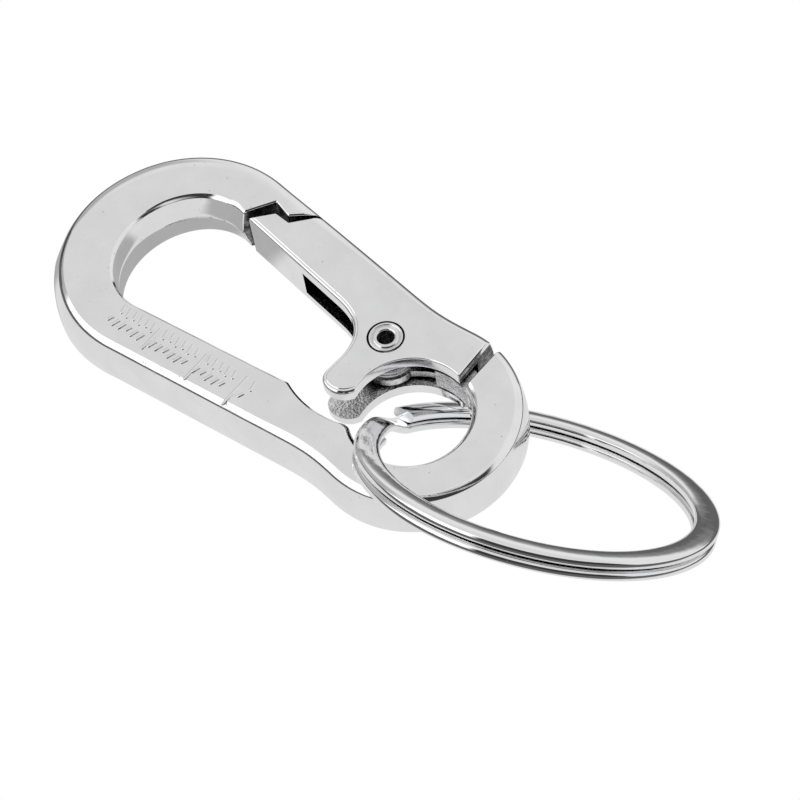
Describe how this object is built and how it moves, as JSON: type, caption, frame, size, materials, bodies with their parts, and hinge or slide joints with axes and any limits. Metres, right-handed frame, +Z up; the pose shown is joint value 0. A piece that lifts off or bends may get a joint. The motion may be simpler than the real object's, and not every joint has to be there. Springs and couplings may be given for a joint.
{
  "type": "carabiner keyring",
  "caption": "Die-cast snap hook with an eye at one end, a sprung gate on a tubular rivet, and a two-turn steel split ring through the eye.",
  "frame": {"origin": "middle of the object's bounding box at table height, with the object leaning at rest on its spine and split ring", "axes": "+X from the big loop towards the split ring, +Y towards the gate side, +Z up from the table; the hook's own plane is rolled 17.8 degrees about X and pitched 1.7 degrees"},
  "size_m": [0.0648, 0.0286, 0.0128],
  "materials": {
    "chrome_casting": "polished",
    "rivet_steel": "polished",
    "spring_steel": "satin",
    "ring_steel": "polished"
  },
  "bodies": {
    "hook": {"frame": "chrome_casting", "rivet": "rivet_steel", "gate_spring": "spring_steel"},
    "gate": {"gate": "chrome_casting"},
    "split_ring": {"split_ring": "ring_steel"}
  },
  "joints": [
    {"name": "gate_hinge", "type": "hinge", "parent": "hook", "child": "gate", "pos_m": [-0.00134, 0.00309, 0.00639], "axis": [0.0304, -0.3049, 0.9519], "range_deg": [0, 25], "stiffness_Nm_per_rad": 0.02, "springref_deg": -28.65, "deforming": ["gate_spring"]},
    {"name": "ring_swivel", "type": "hinge", "parent": "hook", "child": "split_ring", "pos_m": [0.00506, -0.00038, 0.00508], "axis": [-0.9995, -0.0093, 0.0289], "range_deg": [0, 90]}
  ]
}
